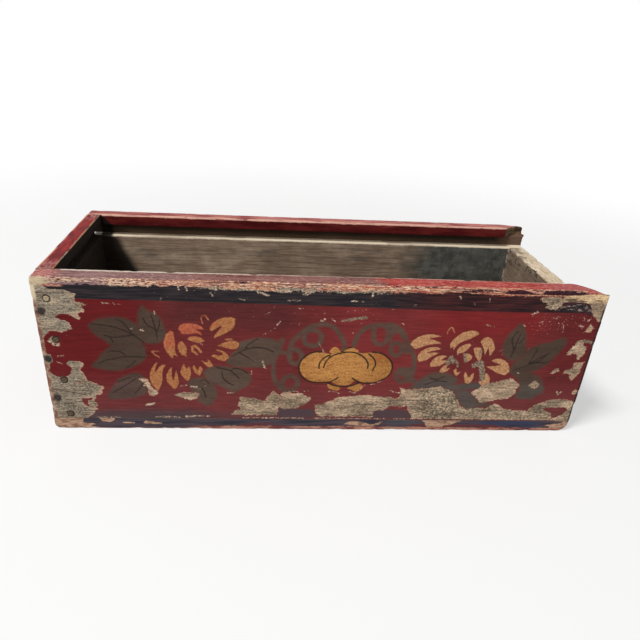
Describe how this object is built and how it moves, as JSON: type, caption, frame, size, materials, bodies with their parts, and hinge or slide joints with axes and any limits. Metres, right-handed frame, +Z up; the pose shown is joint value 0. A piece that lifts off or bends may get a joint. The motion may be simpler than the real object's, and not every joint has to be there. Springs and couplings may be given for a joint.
{
  "type": "painted wooden box with lid grooves",
  "caption": "Long low wooden box, open on top, with painted and worn outer faces, inner grooves for a sliding lid and a low end board where the lid would enter.",
  "frame": {"origin": "middle of the underside of the bottom board", "axes": "+X along the box towards the open end of the lid grooves, -Y out of the decorated front, +Z up"},
  "size_m": [0.42, 0.177, 0.1265],
  "materials": {
    "painted_wood": "old dark red, navy and green oil paint on wood, worn through and flaked",
    "bare_wood": "bare weathered softwood, grey-brown, matt, with open grain",
    "iron_nail": "hand-forged iron, dark brown with rust",
    "bamboo_peg": "planed bamboo end grain, worn smooth, with a dark ring round it"
  },
  "bodies": {
    "root": {"front_board": "painted_wood", "back_board": "painted_wood", "left_end_board": "painted_wood", "right_end_board": "bare_wood", "bottom_board": "bare_wood", "front_left_peg_1": "bamboo_peg", "front_left_nail_2": "iron_nail", "front_left_peg_3": "bamboo_peg", "front_left_nail_4": "iron_nail", "front_left_peg_5": "bamboo_peg", "front_left_nail_6": "iron_nail", "front_left_peg_7": "bamboo_peg", "front_right_peg_1": "bamboo_peg", "front_right_nail_2": "iron_nail", "front_right_peg_3": "bamboo_peg", "front_right_nail_4": "iron_nail", "front_right_peg_5": "bamboo_peg", "front_right_nail_6": "iron_nail", "back_left_peg_1": "bamboo_peg", "back_left_nail_2": "iron_nail", "back_left_peg_3": "bamboo_peg", "back_left_nail_4": "iron_nail", "back_left_peg_5": "bamboo_peg", "back_left_nail_6": "iron_nail", "back_left_peg_7": "bamboo_peg", "back_right_peg_1": "bamboo_peg", "back_right_nail_2": "iron_nail", "back_right_peg_3": "bamboo_peg", "back_right_nail_4": "iron_nail", "back_right_peg_5": "bamboo_peg", "back_right_nail_6": "iron_nail", "bottom_front_nail_1": "iron_nail", "bottom_front_nail_2": "iron_nail", "bottom_front_nail_3": "iron_nail", "bottom_front_nail_4": "iron_nail", "bottom_front_nail_5": "iron_nail", "bottom_back_nail_1": "iron_nail", "bottom_back_nail_2": "iron_nail", "bottom_back_nail_3": "iron_nail", "bottom_back_nail_4": "iron_nail", "bottom_back_nail_5": "iron_nail", "bottom_left_nail_1": "iron_nail", "bottom_left_nail_2": "iron_nail", "bottom_right_nail_1": "iron_nail", "bottom_right_nail_2": "iron_nail"}
  },
  "joints": []
}
